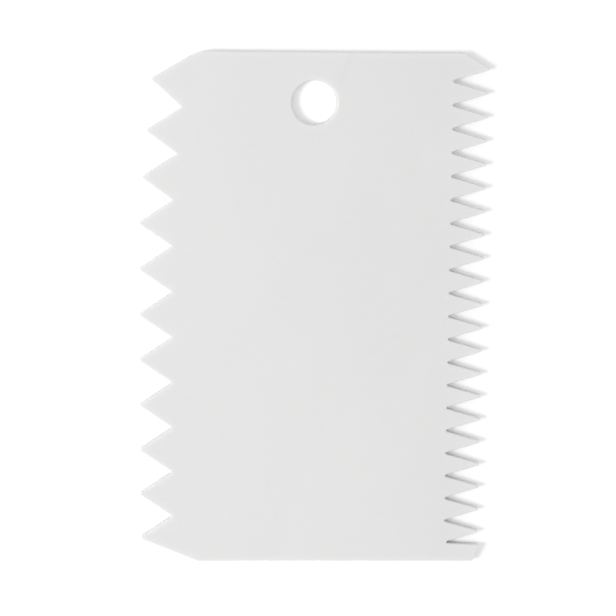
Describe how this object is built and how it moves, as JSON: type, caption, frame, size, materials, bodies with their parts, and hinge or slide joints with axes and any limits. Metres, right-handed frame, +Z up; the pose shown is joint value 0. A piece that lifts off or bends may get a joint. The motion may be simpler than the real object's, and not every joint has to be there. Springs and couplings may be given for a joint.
{
  "type": "icing smoother",
  "caption": "Flat one-piece plastic icing smoother: coarse triangular teeth on one long side, fine teeth on the other, plain smoothing edges at both ends, round hanging hole.",
  "frame": {"origin": "centre of the underside, on the surface that the plate lies on", "axes": "+Y along the length towards the plain edge by the hanging hole, +X towards the fine teeth, +Z up out of the upper face"},
  "size_m": [0.0736, 0.11, 0.002],
  "materials": {
    "moulded_plastic": "white moulded plastic with a fine satin grain on both faces and slightly glossier softened edges"
  },
  "bodies": {
    "root": {"smoother_plate": "moulded_plastic"}
  },
  "joints": []
}
